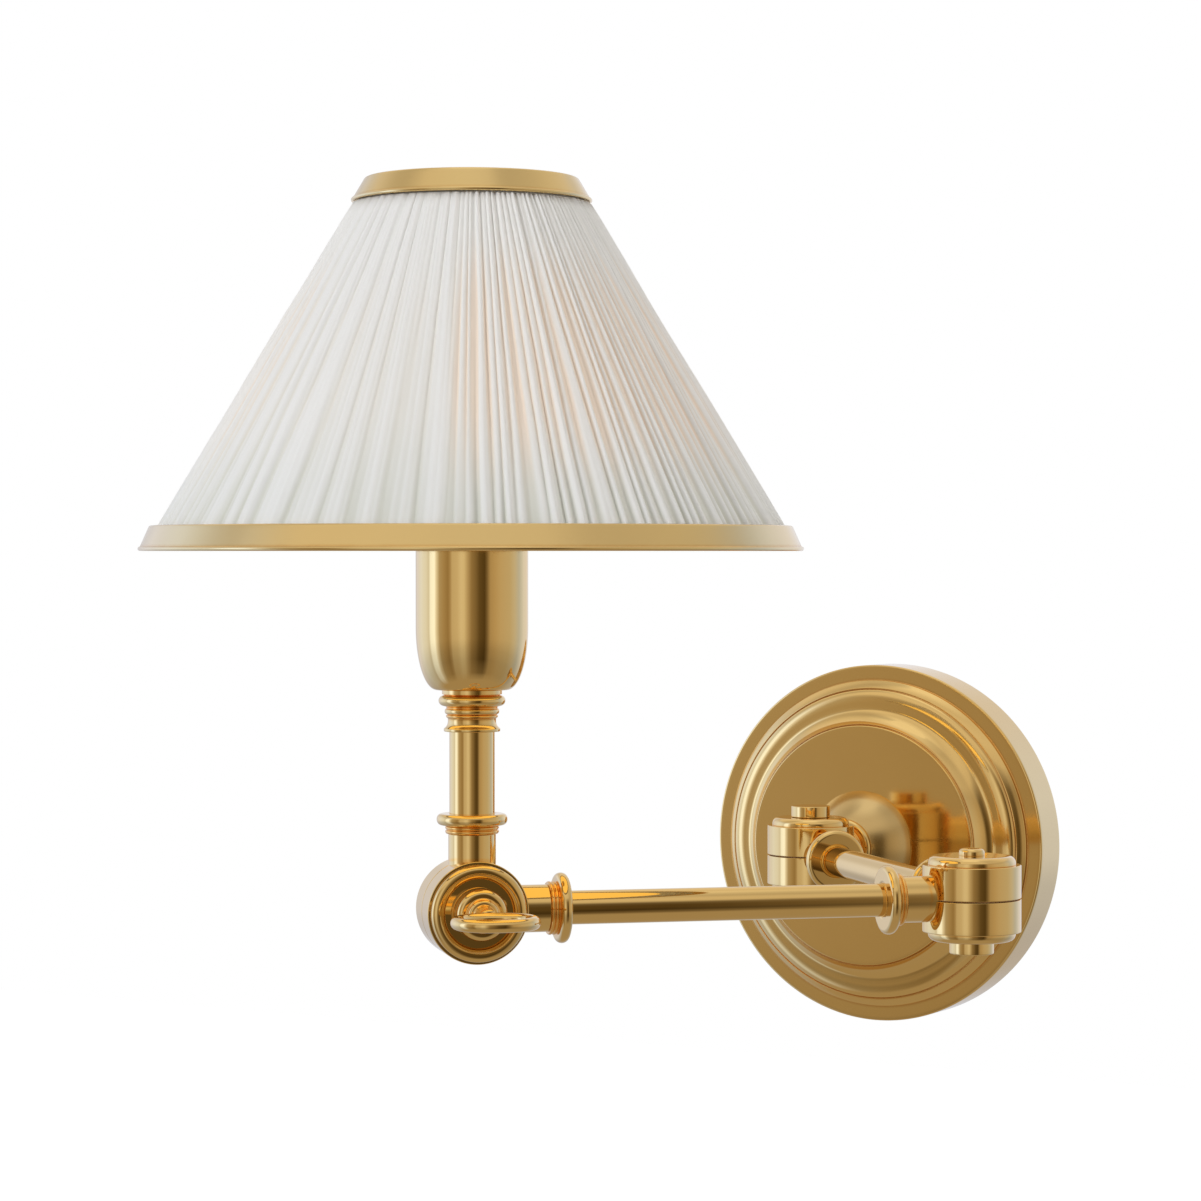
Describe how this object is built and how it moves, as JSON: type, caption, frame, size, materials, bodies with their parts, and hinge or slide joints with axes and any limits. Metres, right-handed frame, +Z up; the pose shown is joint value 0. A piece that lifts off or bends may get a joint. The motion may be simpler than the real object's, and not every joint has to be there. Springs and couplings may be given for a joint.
{
  "type": "swing arm wall sconce",
  "caption": "Wall light with a round stepped plate, two swinging brass arms, a tilting stem with a loop key, a socket cup and a gathered cone shade with metal trims.",
  "frame": {"origin": "centre of the two box screw slots, on the wall plane behind the round plate", "axes": "+Z up, +Y into the wall, +X to the right as seen from the room; the arms reach out along -Y"},
  "size_m": [0.2698, 0.4565, 0.3339],
  "materials": {
    "brass": "polished",
    "steel": "zinc plated",
    "green_zinc": "satin",
    "fibre": "matt",
    "white_plastic": "satin",
    "lining": "matt",
    "linen": "gathered linen"
  },
  "bodies": {
    "wall": {"backplate": "brass", "mounting_bar": "steel", "earth_screw": "green_zinc", "centre_pipe": "steel", "pipe_locknuts": "steel", "wall_boss": "brass", "wall_collar": "brass", "wall_knuckle": "brass", "wall_knuckle_cap": "brass", "wall_pivot_bolt": "brass", "wall_pivot_nut": "brass", "wall_washer": "fibre"},
    "arm_1": {"arm_1_inner_knuckle": "brass", "arm_1_inner_cap": "brass", "arm_1_pipes": "steel", "arm_1_collars": "brass", "arm_1_tube": "brass", "arm_1_outer_knuckle": "brass", "arm_1_outer_cap": "brass", "elbow_bolt": "brass", "elbow_nut": "brass", "elbow_washer": "fibre"},
    "arm_2": {"arm_2_inner_knuckle": "brass", "arm_2_inner_cap": "brass", "arm_2_pipes": "steel", "arm_2_collars": "brass", "arm_2_tube": "brass", "arm_2_tilt_knuckle": "brass", "arm_2_tilt_cap": "brass", "tilt_nut": "brass", "tilt_washer": "fibre"},
    "key": {"tension_key": "brass", "key_stud": "steel"},
    "head": {"stem_knuckle": "brass", "stem_cover": "brass", "stem_bead_ring": "brass", "stem_pipe": "steel", "stem_collar": "brass", "stem_tube": "brass", "cup_fitting": "brass", "cup_locknut": "steel", "socket_cup": "brass", "lamp_holder": "white_plastic", "screw_shell": "brass", "centre_contact": "brass", "shade_ring_nut": "white_plastic", "carrier_ring": "steel", "carrier_spokes": "steel", "bottom_wire_ring": "steel", "shade_lining": "lining", "shade_fabric": "linen", "bottom_trim": "brass", "top_trim": "brass", "top_wire_ring": "steel"}
  },
  "joints": [
    {"name": "wall_swing", "type": "hinge", "parent": "wall", "child": "arm_1", "pos_m": [0, -0.083, 0], "axis": [0, 0, 1], "range_deg": [-135, 45]},
    {"name": "elbow_swing", "type": "hinge", "parent": "arm_1", "child": "arm_2", "pos_m": [0.13081, -0.21382, 0], "axis": [0, 0, 1], "range_deg": [-28, 212]},
    {"name": "head_tilt", "type": "hinge", "parent": "arm_2", "child": "head", "pos_m": [-0.00449, -0.33998, 0], "axis": [0.682, -0.7314, 0], "range_deg": [-30, 90]},
    {"name": "key_turn", "type": "hinge", "parent": "arm_2", "child": "key", "pos_m": [-0.00449, -0.33998, 0], "axis": [0.682, -0.7314, 0], "range_deg": [0, 270]}
  ]
}
